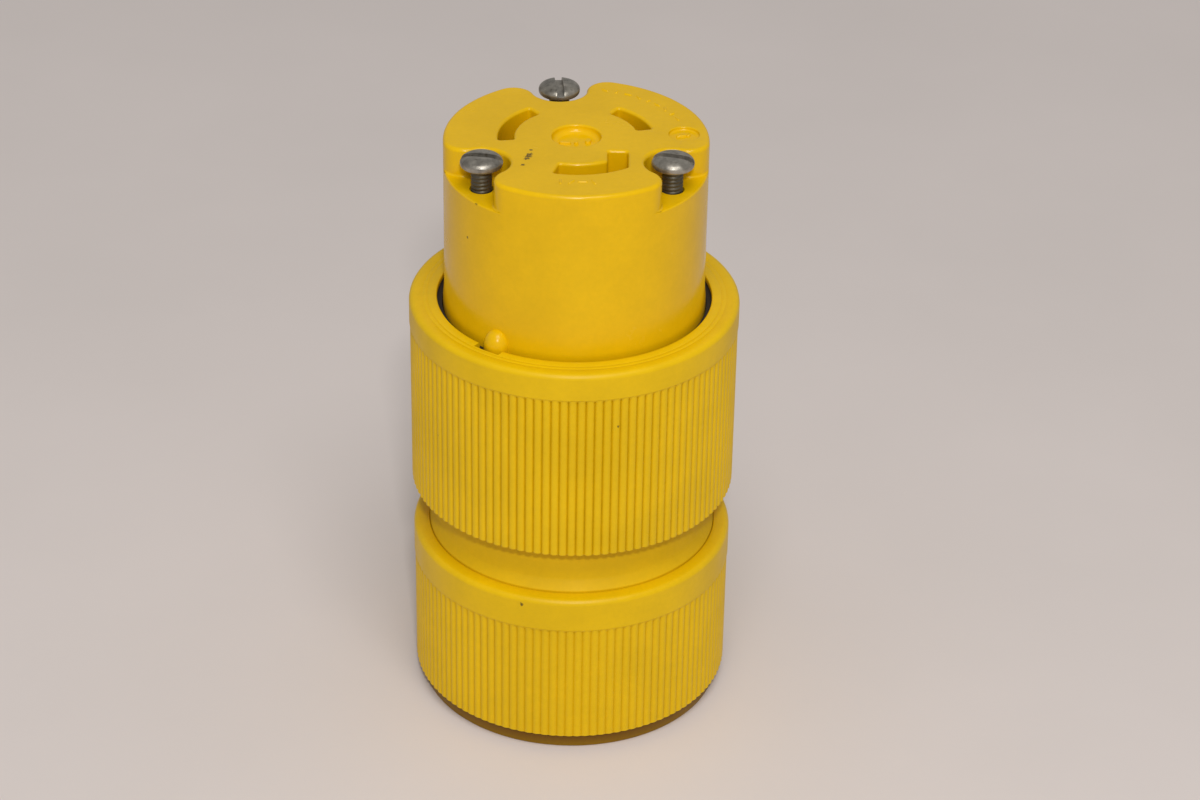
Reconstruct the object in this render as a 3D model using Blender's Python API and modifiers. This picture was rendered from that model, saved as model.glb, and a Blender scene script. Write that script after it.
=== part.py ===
"""A wet-location locking connector body: the female, cord-end half of a three-wire locking pair.

It stands on the end of its cord nut, with its axis along +Z and its origin at the floor. The cord nut,
the thrust ring, the rear housing with everything screwed to it, and the coupling sleeve are coaxial.
"""

import math

import bmesh
import bpy
from mathutils import Matrix, Vector

MM = 0.001

# Clearances
GAP = 0.3 * MM

# Front body
FACE_R = 26.0 * MM
FACE_Z = 124.4 * MM
FACE_FILLET = 0.8 * MM
FACE_UNDERSIDE_Z = 114.3 * MM
FLANGE_R = 27.8 * MM
FLANGE_TOP_Z = 78.0 * MM
FLANGE_BOTTOM_Z = 74.0 * MM
CAVITY_R = 22.8 * MM

# Screw notches in the face: a round pocket that flares into the rim
SCREW_ANGLES = {"left": 212.5, "right": 330.0, "rear": 99.5}
SCREW_SLOT_ANGLES = {"left": -8.0, "right": -14.0, "rear": 95.0}
SCREW_CIRCLE_R = 21.5 * MM
NOTCH_R = 5.5 * MM
NOTCH_SHOULDER_R = 4.2 * MM
NOTCH_FLOOR_Z = 118.5 * MM

# Assembly screws, backed out until their captive washers stop them
HEAD_R = 4.15 * MM
HEAD_SIDE = 0.7 * MM
HEAD_DOME = 1.6 * MM
HEAD_SLOT_WIDTH = 1.5 * MM
HEAD_SLOT_DEPTH = 1.2 * MM
HEAD_UNDERSIDE_Z = 123.4 * MM
SHANK_R = 2.08 * MM
SHANK_HOLE_R = 2.35 * MM
SCREW_TIP_Z = 66.0 * MM
WASHER_R = 3.3 * MM
WASHER_BORE_R = 2.4 * MM
WASHER_THICKNESS = 1.0 * MM
WASHER_CHAMBER_R = 3.65 * MM
WASHER_CHAMBER_Z = 107.0 * MM

# Blade slots: start and end in degrees, inner and outer radius
SLOTS = {
    "neutral": (127.5, 188.0, 12.2 * MM, 15.3 * MM),
    "hot": (14.0, 57.0, 12.2 * MM, 15.2 * MM),
    "ground": (254.5, 307.6, 12.3 * MM, 16.4 * MM),
}
HOOK_X = (6.1 * MM, 10.0 * MM)
HOOK_Y = (-13.0 * MM, -6.4 * MM)
CENTRE_RECESS_R = 4.8 * MM
CENTRE_RECESS_DEPTH = 1.6 * MM
LOBE_RECESS_R = 3.0 * MM
LOBE_RECESS_DEPTH = 0.7 * MM
LOBE_RECESS_CENTRE = (21.0 * MM, 1.5 * MM)

# Key boss on the side of the front body
KEY_ANGLE = 235.2
KEY_R = 2.72 * MM
KEY_TOP_Z = 92.9 * MM
KEY_BOTTOM_Z = 86.2 * MM
KEYWAY_R = 29.4 * MM
KEYWAY_ANGLE = 234.3
KEYWAY_HALF_ANGLE = 6.4

# Contacts and their carrier
CARRIER_R = 22.4 * MM
CARRIER_TOP_Z = 113.9 * MM
CARRIER_BOTTOM_Z = 84.7 * MM
CARRIER_GUTTER_R = 4.0 * MM
LEAF_THICKNESS = 0.8 * MM
BLADE_GAP = 2.0 * MM
LEAF_TOP_Z = 112.5 * MM
CONTACT_FLOOR_Z = 94.0 * MM
TAB_BOTTOM_Z = 83.2 * MM
TAB_THICKNESS = 1.2 * MM
TAB_WIDTH = 8.0 * MM
TAB_INNER_R = 3.2 * MM
TERMINAL_R = 7.2 * MM
TERMINAL_HOLE_R = 2.2 * MM
TERMINAL_SHANK_R = 1.85 * MM
TERMINAL_TIP_Z = 91.0 * MM
TERMINAL_HEAD_R = 3.4 * MM
TERMINAL_HEAD_HEIGHT = 2.4 * MM
TERMINAL_SLOT_WIDTH = 1.2 * MM
TERMINAL_SLOT_DEPTH = 1.1 * MM
PLATE_SIZE = 7.6 * MM
PLATE_THICKNESS = 1.2 * MM

# Coupling sleeve
SLEEVE_TOP_Z = 89.5 * MM
SLEEVE_BOTTOM_Z = 47.9 * MM
SLEEVE_BAND_R = 33.1 * MM
SLEEVE_BAND_Z = 83.8 * MM
SLEEVE_RIB_R = 32.95 * MM
SLEEVE_LIP_R = 27.5 * MM
SLEEVE_LIP_Z = 88.3 * MM
SLEEVE_BORE_R = 30.1 * MM
SLEEVE_FOOT_R = 28.1 * MM
SLEEVE_FOOT_Z = 51.8 * MM
RIBS = 120
SLEEVE_RIB_DEPTH = 0.5 * MM
SEAL_BORE_R = 28.8 * MM
SEAL_BOTTOM_Z = 74.5 * MM
SEAL_LIP_R = 26.4 * MM
SEAL_LIP_Z = 86.6 * MM
SEAL_NOTCH_HALF_ANGLE = 7.6

# Rear housing
HOUSING_TOP_Z = 72.0 * MM
HOUSING_R = 27.8 * MM
COLLAR_R = 29.4 * MM
COLLAR_TOP_Z = 60.0 * MM
COLLAR_BOTTOM_Z = 52.2 * MM
NECK_R = 27.5 * MM
FLARE_TOP_Z = 43.6 * MM
FLARE_BOTTOM_Z = 37.6 * MM
THREAD_R = 29.2 * MM
TAIL_R = 28.9 * MM
TAIL_BOTTOM_Z = 14.2 * MM
SEAT_BOTTOM_R = 24.2 * MM
SEAT_TOP_R = 20.2 * MM
SEAT_TOP_Z = 30.5 * MM
THROAT_R = 16.5 * MM
THROAT_TOP_Z = 34.0 * MM
CHAMBER_Z = 38.0 * MM
CHAMBER_R = 22.8 * MM
BOSS_R = 5.4 * MM
BOSS_BOTTOM_Z = 57.0 * MM
INSERT_R = 3.4 * MM
INSERT_BORE_R = 2.45 * MM
INSERT_BOTTOM_Z = 60.0 * MM

# Cord nut, thrust ring and grommet
NUT_TOP_Z = 37.0 * MM
NUT_R = 32.74 * MM
NUT_BAND_Z = 29.8 * MM
NUT_RIB_R = 32.6 * MM
NUT_RIB_DEPTH = 0.4 * MM
NUT_FOOT_Z = 3.5 * MM
NUT_FOOT_R = 31.1 * MM
NUT_BORE_R = 29.5 * MM
NUT_BORE_Z = 9.6 * MM
NUT_SHOULDER_Z = 5.3 * MM
NUT_SHOULDER_R = 25.3 * MM
NUT_MOUTH_R = 15.0 * MM
NUT_LIP_CHAMFER = 0.8 * MM
THRUST_RING_R = 24.8 * MM
THRUST_RING_BORE_R = 11.0 * MM
THRUST_RING_Z = (5.6 * MM, 8.5 * MM)
GROMMET_Z = (12.2 * MM, 30.0 * MM)
GROMMET_R = (23.7 * MM, 19.7 * MM)
CORD_HOLE_R = 8.2 * MM

# Facets round a full turn
ROUND_STEPS = 72
BORE_STEPS = 48
SMALL_STEPS = 16

# Out of this many points round a ribbed piece, its smooth rings keep one
PLAIN_SHARE = 3

YELLOW = (0.68, 0.42, 0.012)


def clear_scene():
    for thing in list(bpy.data.objects):
        bpy.data.objects.remove(thing, do_unlink=True)


def new_collection(name):
    made = bpy.data.collections.new(name)
    bpy.context.scene.collection.children.link(made)
    return made


def material(name, colour, roughness, metallic=0.0):
    made = bpy.data.materials.new(name)
    made.use_nodes = True
    shader = made.node_tree.nodes["Principled BSDF"]
    shader.inputs["Base Color"].default_value = (*colour, 1.0)
    shader.inputs["Roughness"].default_value = roughness
    shader.inputs["Metallic"].default_value = metallic
    return made


clear_scene()
PARTS = new_collection("locking_connector_body")
CUTTERS = new_collection("cutters")


def add(name, mesh, finish=None):
    """A sub-part with its own finish, or a cutter when there is no finish."""
    thing = bpy.data.objects.new(name, mesh)
    if finish:
        PARTS.objects.link(thing)
        mesh.materials.append(finish)
        mesh.shade_smooth()
        mesh.set_sharp_from_angle(angle=math.radians(35))
    else:
        CUTTERS.objects.link(thing)
        thing.hide_render = True
        thing.display_type = "WIRE"
    return thing


def boolean(thing, other, operation="DIFFERENCE"):
    step = thing.modifiers.new(f"{operation.lower()} {other.name}", "BOOLEAN")
    step.operation = operation
    step.object = other
    return thing


def polar(radius, degrees, z=0.0):
    angle = math.radians(degrees)
    return Vector((radius * math.cos(angle), radius * math.sin(angle), z))


def arc(centre, radius, start, end, count):
    """Points on an arc in a plane, from start to end in degrees, both ends included."""
    points = []
    for i in range(count + 1):
        angle = math.radians(start + (end - start) * i / count)
        points.append((centre[0] + radius * math.cos(angle), centre[1] + radius * math.sin(angle)))
    return points


def turned(name, profile, finish=None, steps=ROUND_STEPS):
    """A profile of (radius, height) points turned about Z. It runs down its outer side.

    A profile whose two ends are on the axis is an open line, and any other one is a closed ring.
    """
    mesh = bpy.data.meshes.new(name)
    solid = profile[0][0] == 0.0 and profile[-1][0] == 0.0
    count = len(profile)
    edges = [(i, i + 1) for i in range(count - 1)]
    if not solid:
        edges.append((count - 1, 0))
    mesh.from_pydata([(r, 0.0, z) for r, z in profile], edges, [])
    thing = add(name, mesh, finish)
    screw = thing.modifiers.new("turn", "SCREW")
    screw.angle = math.tau
    screw.steps = steps
    screw.render_steps = steps
    screw.use_merge_vertices = True
    screw.merge_threshold = 0.00001
    screw.use_smooth_shade = True
    return thing


def prism(name, outline, low, high, finish=None):
    """A flat outline of (x, y) points, counter-clockwise, extruded from one height to another."""
    shape = bmesh.new()
    corners = [shape.verts.new((x, y, low)) for x, y in outline]
    floor = shape.faces.new(corners)
    raised = bmesh.ops.extrude_face_region(shape, geom=[floor])
    moved = [item for item in raised["geom"] if isinstance(item, bmesh.types.BMVert)]
    bmesh.ops.translate(shape, verts=moved, vec=(0.0, 0.0, high - low))
    bmesh.ops.recalc_face_normals(shape, faces=shape.faces)
    mesh = bpy.data.meshes.new(name)
    shape.to_mesh(mesh)
    shape.free()
    return add(name, mesh, finish)


def rod(name, radius, low, high, centre=(0.0, 0.0), finish=None, steps=SMALL_STEPS):
    """A vertical cylinder between two heights."""
    shape = bmesh.new()
    place = Matrix.Translation((centre[0], centre[1], (low + high) / 2))
    bmesh.ops.create_cone(
        shape,
        cap_ends=True,
        segments=steps,
        radius1=radius,
        radius2=radius,
        depth=high - low,
        matrix=place,
    )
    mesh = bpy.data.meshes.new(name)
    shape.to_mesh(mesh)
    shape.free()
    return add(name, mesh, finish)


def block(name, size, centre, turn=0.0, finish=None):
    """A box of a given size about a centre, turned about Z by an angle in degrees."""
    shape = bmesh.new()
    place = Matrix.Translation(centre) @ Matrix.Rotation(math.radians(turn), 4, "Z")
    bmesh.ops.create_cube(shape, size=1.0, matrix=place @ Matrix.Diagonal((*size, 1.0)))
    mesh = bpy.data.meshes.new(name)
    shape.to_mesh(mesh)
    shape.free()
    return add(name, mesh, finish)


def sector(name, inner, outer, start, end, low, high, finish=None):
    """A piece of a ring between two radii and two angles in degrees."""
    count = max(4, round((end - start) / 6))
    outline = arc((0.0, 0.0), outer, start, end, count)
    outline += arc((0.0, 0.0), inner, end, start, count)
    return prism(name, outline, low, high, finish)


def screw_place(side):
    return polar(SCREW_CIRCLE_R, SCREW_ANGLES[side])


def notch_outline(side):
    """A round pocket about the screw, with shoulders tangent to the pocket and to the rim."""
    reach = FACE_R - NOTCH_SHOULDER_R
    span = NOTCH_R + NOTCH_SHOULDER_R
    cosine = (reach**2 + SCREW_CIRCLE_R**2 - span**2) / (2 * reach * SCREW_CIRCLE_R)
    half = math.degrees(math.acos(cosine))
    shoulder = polar(reach, half)
    to_screw = Vector((SCREW_CIRCLE_R, 0.0, 0.0)) - shoulder
    facing = math.degrees(math.atan2(to_screw.y, to_screw.x))
    back = facing + 180.0
    outside = FACE_R + 4 * MM
    outline = arc((0.0, 0.0), outside, -half, half, 6)
    outline += arc(shoulder.xy, NOTCH_SHOULDER_R, half, facing, 7)
    outline += arc((SCREW_CIRCLE_R, 0.0), NOTCH_R, back, 360.0 - back, 12)[1:-1]
    outline += arc((shoulder.x, -shoulder.y), NOTCH_SHOULDER_R, -facing, -half, 7)
    turn = Matrix.Rotation(math.radians(SCREW_ANGLES[side]), 2)
    return [tuple(turn @ Vector(point)) for point in outline]


def make_front_body(finish):
    fillet = arc((FACE_R - FACE_FILLET, FACE_Z - FACE_FILLET), FACE_FILLET, 90.0, 0.0, 2)
    profile = [(0.0, FACE_Z), *fillet]
    profile += [
        (FACE_R, FLANGE_TOP_Z),
        (FLANGE_R, FLANGE_TOP_Z),
        (FLANGE_R, FLANGE_BOTTOM_Z),
        (CAVITY_R, FLANGE_BOTTOM_Z),
        (CAVITY_R, FACE_UNDERSIDE_Z),
        (0.0, FACE_UNDERSIDE_Z),
    ]
    body = turned("front_body", profile, finish)
    above = FACE_Z + 2 * MM
    below = FACE_UNDERSIDE_Z - 2 * MM
    for side in SCREW_ANGLES:
        x, y, _ = screw_place(side)
        boolean(body, prism(f"{side}_notch", notch_outline(side), NOTCH_FLOOR_Z, above))
        boolean(body, rod(f"{side}_shank_hole", SHANK_HOLE_R, FLANGE_BOTTOM_Z - MM, above, (x, y)))
        boolean(
            body,
            rod(f"{side}_chamber", WASHER_CHAMBER_R, WASHER_CHAMBER_Z, FACE_UNDERSIDE_Z, (x, y)),
        )
    for blade, (start, end, inner, outer) in SLOTS.items():
        boolean(body, sector(f"{blade}_slot", inner, outer, start, end, below, above))
    hook_size = (HOOK_X[1] - HOOK_X[0], HOOK_Y[1] - HOOK_Y[0], above - below)
    hook_centre = (sum(HOOK_X) / 2, sum(HOOK_Y) / 2, (above + below) / 2)
    boolean(body, block("hook_slot", hook_size, hook_centre))
    floor = FACE_Z - CENTRE_RECESS_DEPTH
    boolean(body, rod("centre_recess", CENTRE_RECESS_R, floor, above, steps=32))
    floor = FACE_Z - LOBE_RECESS_DEPTH
    boolean(body, rod("lobe_recess", LOBE_RECESS_R, floor, above, LOBE_RECESS_CENTRE))
    boolean(body, make_key_boss(), "UNION")


def make_key_boss():
    """A round key with a domed top, part of the front body's side."""
    dome = arc((0.0, KEY_TOP_Z - KEY_R), KEY_R, 90.0, 0.0, 5)
    dome[0] = (0.0, KEY_TOP_Z)
    key = turned("key_boss", [*dome, (KEY_R, KEY_BOTTOM_Z), (0.0, KEY_BOTTOM_Z)], steps=SMALL_STEPS)
    key.location = polar(FACE_R, KEY_ANGLE)
    return key


def make_assembly_screw(side, steel, fibre):
    x, y, _ = screw_place(side)
    side_top = HEAD_UNDERSIDE_Z + HEAD_SIDE
    dome = []
    for i in range(5):
        angle = math.radians(90.0 - 90.0 * i / 4)
        dome.append((HEAD_R * math.cos(angle), side_top + HEAD_DOME * math.sin(angle)))
    dome[0] = (0.0, side_top + HEAD_DOME)
    profile = [
        *dome,
        (HEAD_R - 0.3 * MM, HEAD_UNDERSIDE_Z),
        (SHANK_R, HEAD_UNDERSIDE_Z),
        (SHANK_R, SCREW_TIP_Z + MM),
        (SHANK_R - 0.6 * MM, SCREW_TIP_Z),
        (0.0, SCREW_TIP_Z),
    ]
    screw = turned(f"{side}_assembly_screw", profile, steel, steps=SMALL_STEPS)
    screw.location = (x, y, 0.0)
    slot_bottom = side_top + HEAD_DOME - HEAD_SLOT_DEPTH
    size = (3 * HEAD_R, HEAD_SLOT_WIDTH, 2 * HEAD_SLOT_DEPTH)
    centre = (x, y, slot_bottom + HEAD_SLOT_DEPTH)
    boolean(screw, block(f"{side}_driver_slot", size, centre, SCREW_SLOT_ANGLES[side]))
    top = FACE_UNDERSIDE_Z - GAP
    ring = [
        (WASHER_R, top),
        (WASHER_R, top - WASHER_THICKNESS),
        (WASHER_BORE_R, top - WASHER_THICKNESS),
        (WASHER_BORE_R, top),
    ]
    washer = turned(f"{side}_captive_washer", ring, fibre, steps=SMALL_STEPS)
    washer.location = (x, y, 0.0)


def make_insert(side, finish):
    top = HOUSING_TOP_Z - GAP
    ring = [
        (INSERT_R, top),
        (INSERT_R, INSERT_BOTTOM_Z),
        (INSERT_BORE_R, INSERT_BOTTOM_Z),
        (INSERT_BORE_R, top),
    ]
    insert = turned(f"{side}_threaded_insert", ring, finish, steps=SMALL_STEPS)
    insert.location = screw_place(side)


def pocket_radii(blade):
    """Inner face of the inner leaf and outer face of the outer leaf, centred on the blade slot."""
    _, _, inner, outer = SLOTS[blade]
    middle = (inner + outer) / 2
    half = BLADE_GAP / 2 + LEAF_THICKNESS
    return middle - half, middle + half


def terminal_angle(blade):
    start, end, _, _ = SLOTS[blade]
    return (start + end) / 2


def make_carrier(finish):
    centre = (0.0, 0.0)
    heights = (CARRIER_BOTTOM_Z, CARRIER_TOP_Z)
    carrier = rod("contact_carrier", CARRIER_R, *heights, centre, finish, BORE_STEPS)
    low = CARRIER_BOTTOM_Z - MM
    high = CARRIER_TOP_Z + MM
    for side in SCREW_ANGLES:
        boolean(carrier, rod(f"{side}_gutter", CARRIER_GUTTER_R, low, high, screw_place(side).xy))
    for blade, (start, end, _, _) in SLOTS.items():
        inner, outer = pocket_radii(blade)
        name = f"{blade}_pocket"
        boolean(carrier, sector(name, inner - GAP, outer + GAP, start - 2.0, end + 2.0, low, high))
        place = polar(TERMINAL_R, terminal_angle(blade))
        depth = TERMINAL_TIP_Z + MM
        boolean(carrier, rod(f"{blade}_screw_hole", TERMINAL_HOLE_R, low, depth, place.xy))


def make_contact(blade, finish):
    """Two spring leaves joined by a floor, with a tab under the carrier for the terminal screw."""
    start, end, _, _ = SLOTS[blade]
    inner, outer = pocket_radii(blade)
    name = f"{blade}_contact"
    tab_middle_z = TAB_BOTTOM_Z + TAB_THICKNESS / 2
    contact = sector(name, inner, outer, start, end, tab_middle_z, LEAF_TOP_Z, finish)
    leaf = LEAF_THICKNESS
    wide = (start - 3.0, end + 3.0)
    floor_top = CONTACT_FLOOR_Z + leaf
    high = LEAF_TOP_Z + MM
    boolean(contact, sector(f"{blade}_gap", inner + leaf, outer - leaf, *wide, floor_top, high))
    below = (TAB_BOTTOM_Z - MM, CONTACT_FLOOR_Z)
    boolean(contact, sector(f"{blade}_riser_side", inner - MM, outer - leaf, *wide, *below))
    reach = outer - leaf / 2 - TAB_INNER_R
    angle = terminal_angle(blade)
    middle = polar(TAB_INNER_R + reach / 2, angle, tab_middle_z)
    tab = block(f"{blade}_tab", (reach, TAB_WIDTH, TAB_THICKNESS), middle, angle)
    boolean(contact, tab, "UNION")
    place = polar(TERMINAL_R, angle)
    hole_top = TAB_BOTTOM_Z + 2 * TAB_THICKNESS
    hole = rod(f"{blade}_tab_hole", TERMINAL_HOLE_R, TAB_BOTTOM_Z - MM, hole_top, place.xy)
    boolean(contact, hole)


def make_terminal(blade, screw_finish, plate_finish):
    angle = terminal_angle(blade)
    place = polar(TERMINAL_R, angle)
    plate_top = TAB_BOTTOM_Z - GAP
    plate_bottom = plate_top - PLATE_THICKNESS
    size = (PLATE_SIZE, PLATE_SIZE, PLATE_THICKNESS)
    centre = (place.x, place.y, (plate_top + plate_bottom) / 2)
    plate = block(f"{blade}_clamp_plate", size, centre, angle, plate_finish)
    low = plate_bottom - MM
    boolean(plate, rod(f"{blade}_plate_hole", TERMINAL_HOLE_R, low, plate_top + MM, place.xy))
    head_top = plate_bottom - GAP
    head_bottom = head_top - TERMINAL_HEAD_HEIGHT
    profile = [
        (0.0, TERMINAL_TIP_Z),
        (TERMINAL_SHANK_R, TERMINAL_TIP_Z),
        (TERMINAL_SHANK_R, head_top),
        (TERMINAL_HEAD_R, head_top),
        (TERMINAL_HEAD_R, head_bottom + 0.8 * MM),
        (TERMINAL_HEAD_R - 0.8 * MM, head_bottom),
        (0.0, head_bottom),
    ]
    screw = turned(f"{blade}_terminal_screw", profile, screw_finish, steps=SMALL_STEPS)
    screw.location = (place.x, place.y, 0.0)
    slot_size = (3 * TERMINAL_HEAD_R, TERMINAL_SLOT_WIDTH, 2 * TERMINAL_SLOT_DEPTH)
    boolean(screw, block(f"{blade}_driver_slot", slot_size, (place.x, place.y, head_bottom), angle))


def ribbed(name, profile, rib_zone, depth, finish):
    """A solid turned about Z, whose side is drawn in to V grooves over a zone of heights."""
    shape = bmesh.new()
    line = [shape.verts.new((r, 0.0, z)) for r, z in profile]
    sides = [shape.edges.new(pair) for pair in zip(line, line[1:])]
    steps = 2 * RIBS
    bmesh.ops.spin(
        shape,
        geom=line + sides,
        axis=(0, 0, 1),
        angle=math.tau,
        steps=steps,
        use_merge=True,
    )
    bmesh.ops.remove_doubles(shape, verts=shape.verts, dist=0.000001)
    low, high = rib_zone
    plain = {}
    for vert in shape.verts:
        radius = vert.co.xy.length
        if radius < depth:
            continue
        place = round(math.atan2(vert.co.y, vert.co.x) * steps / math.tau) % steps
        if not low <= vert.co.z <= high:
            plain[round(radius / GAP), round(vert.co.z / GAP), place] = vert
        elif place % 2:
            vert.co.xy *= 1.0 - depth / radius
    merged = {}
    for (radius, height, place), vert in plain.items():
        kept = plain[radius, height, PLAIN_SHARE * round(place / PLAIN_SHARE) % steps]
        if kept != vert:
            merged[vert] = kept
    bmesh.ops.weld_verts(shape, targetmap=merged)
    bmesh.ops.recalc_face_normals(shape, faces=shape.faces)
    mesh = bpy.data.meshes.new(name)
    shape.to_mesh(mesh)
    shape.free()
    return add(name, mesh, finish)


def make_sleeve(finish):
    outline = [
        (0.0, SLEEVE_TOP_Z),
        (SLEEVE_BAND_R - 0.7 * MM, SLEEVE_TOP_Z),
        (SLEEVE_BAND_R, SLEEVE_TOP_Z - 0.7 * MM),
        (SLEEVE_BAND_R, SLEEVE_BAND_Z),
        (SLEEVE_RIB_R, SLEEVE_BAND_Z - GAP),
        (SLEEVE_RIB_R, SLEEVE_BOTTOM_Z + 0.6 * MM),
        (SLEEVE_RIB_R - 1.2 * MM, SLEEVE_BOTTOM_Z),
        (0.0, SLEEVE_BOTTOM_Z),
    ]
    zone = (SLEEVE_BOTTOM_Z + 0.1 * MM, SLEEVE_BAND_Z - 0.1 * MM)
    sleeve = ribbed("coupling_sleeve", outline, zone, SLEEVE_RIB_DEPTH, finish)
    above = SLEEVE_TOP_Z + MM
    below = SLEEVE_BOTTOM_Z - MM
    bore = [
        (0.0, above),
        (SLEEVE_LIP_R, above),
        (SLEEVE_LIP_R, SLEEVE_LIP_Z),
        (SLEEVE_BORE_R, SLEEVE_LIP_Z),
        (SLEEVE_BORE_R, SLEEVE_FOOT_Z),
        (SLEEVE_FOOT_R, SLEEVE_FOOT_Z),
        (SLEEVE_FOOT_R, below),
        (0.0, below),
    ]
    boolean(sleeve, turned("sleeve_bore", bore, steps=BORE_STEPS))
    start = KEYWAY_ANGLE - KEYWAY_HALF_ANGLE
    end = KEYWAY_ANGLE + KEYWAY_HALF_ANGLE
    low = SLEEVE_LIP_Z - MM
    boolean(sleeve, sector("keyway", SLEEVE_LIP_R - MM, KEYWAY_R, start, end, low, above))


def make_sleeve_seal(finish):
    """A rubber liner under the sleeve's lip, whose own lip wipes the front body round its key boss."""
    top = SLEEVE_LIP_Z - GAP
    outer = SLEEVE_BORE_R - GAP
    ring = [
        (outer, top),
        (outer, SEAL_BOTTOM_Z),
        (SEAL_BORE_R, SEAL_BOTTOM_Z),
        (SEAL_BORE_R, SEAL_LIP_Z),
        (SEAL_LIP_R, SEAL_LIP_Z + 0.6 * MM),
        (SEAL_LIP_R, top),
    ]
    seal = turned("sleeve_seal", ring, finish, steps=BORE_STEPS)
    start = KEY_ANGLE - SEAL_NOTCH_HALF_ANGLE
    end = KEY_ANGLE + SEAL_NOTCH_HALF_ANGLE
    inner = SEAL_LIP_R - MM
    outer = SEAL_BORE_R + GAP
    boolean(seal, sector("seal_notch", inner, outer, start, end, SEAL_LIP_Z - GAP, top + MM))


def make_housing(finish):
    flare_height = FLARE_TOP_Z - FLARE_BOTTOM_Z
    flare = []
    for i in range(5):
        share = i / 4
        radius = NECK_R + (THREAD_R - NECK_R) * share**2
        flare.append((radius, FLARE_TOP_Z - flare_height * share))
    profile = [
        (HOUSING_R, HOUSING_TOP_Z),
        (HOUSING_R, COLLAR_TOP_Z),
        (COLLAR_R, COLLAR_TOP_Z),
        (COLLAR_R, COLLAR_BOTTOM_Z),
        (NECK_R, COLLAR_BOTTOM_Z),
        *flare,
        (THREAD_R, FLARE_BOTTOM_Z - MM),
        (TAIL_R, FLARE_BOTTOM_Z - 2 * MM),
        (TAIL_R, TAIL_BOTTOM_Z + MM),
        (TAIL_R - MM, TAIL_BOTTOM_Z),
        (SEAT_BOTTOM_R, TAIL_BOTTOM_Z),
        (SEAT_TOP_R, SEAT_TOP_Z),
        (THROAT_R, SEAT_TOP_Z),
        (THROAT_R, THROAT_TOP_Z),
        (CHAMBER_R, CHAMBER_Z),
        (CHAMBER_R, HOUSING_TOP_Z),
    ]
    housing = turned("rear_housing", profile, finish)
    for side in SCREW_ANGLES:
        place = screw_place(side).xy
        boss = rod(f"{side}_boss", BOSS_R, BOSS_BOTTOM_Z, HOUSING_TOP_Z - 0.1 * MM, place)
        boolean(housing, boss, "UNION")
        pocket_bottom = INSERT_BOTTOM_Z - GAP
        pocket = rod(f"{side}_pocket", INSERT_R + GAP, pocket_bottom, HOUSING_TOP_Z + MM, place)
        boolean(housing, pocket)


def make_gasket(finish):
    low = HOUSING_TOP_Z + GAP
    high = FLANGE_BOTTOM_Z - GAP
    inner = SCREW_CIRCLE_R + SHANK_HOLE_R + GAP
    ring = [(HOUSING_R, high), (HOUSING_R, low), (inner, low), (inner, high)]
    turned("housing_gasket", ring, finish, steps=BORE_STEPS)


def make_nut(finish):
    outline = [
        (0.0, NUT_TOP_Z),
        (NUT_R - NUT_LIP_CHAMFER, NUT_TOP_Z),
        (NUT_R, NUT_TOP_Z - NUT_LIP_CHAMFER),
        (NUT_R, NUT_BAND_Z),
        (NUT_RIB_R, NUT_BAND_Z - GAP),
        (NUT_RIB_R, NUT_FOOT_Z),
        (NUT_FOOT_R, NUT_FOOT_Z),
        (NUT_FOOT_R, 0.0),
        (0.0, 0.0),
    ]
    zone = (NUT_FOOT_Z - 0.1 * MM, NUT_BAND_Z - 0.1 * MM)
    nut = ribbed("cord_nut", outline, zone, NUT_RIB_DEPTH, finish)
    above = NUT_TOP_Z + MM
    bore = [
        (0.0, above),
        (NUT_BORE_R, above),
        (NUT_BORE_R, NUT_BORE_Z),
        (NUT_SHOULDER_R, NUT_SHOULDER_Z),
        (NUT_MOUTH_R, NUT_SHOULDER_Z),
        (NUT_MOUTH_R, MM),
        (NUT_MOUTH_R + 2 * MM, -MM),
        (0.0, -MM),
    ]
    boolean(nut, turned("nut_bore", bore, steps=BORE_STEPS))


def make_cord_grip(plastic, rubber):
    low, high = THRUST_RING_Z
    ring = [
        (THRUST_RING_R, high),
        (THRUST_RING_R, low),
        (THRUST_RING_BORE_R, low),
        (THRUST_RING_BORE_R, high),
    ]
    turned("thrust_ring", ring, plastic, steps=BORE_STEPS)
    bottom, top = GROMMET_Z
    wide, narrow = GROMMET_R
    plug = [
        (narrow, top),
        (wide, bottom + 1.6 * MM),
        (wide, bottom),
        (CORD_HOLE_R + MM, bottom),
        (CORD_HOLE_R, bottom + MM),
        (CORD_HOLE_R, top),
    ]
    turned("cord_grommet", plug, rubber, steps=BORE_STEPS)


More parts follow.
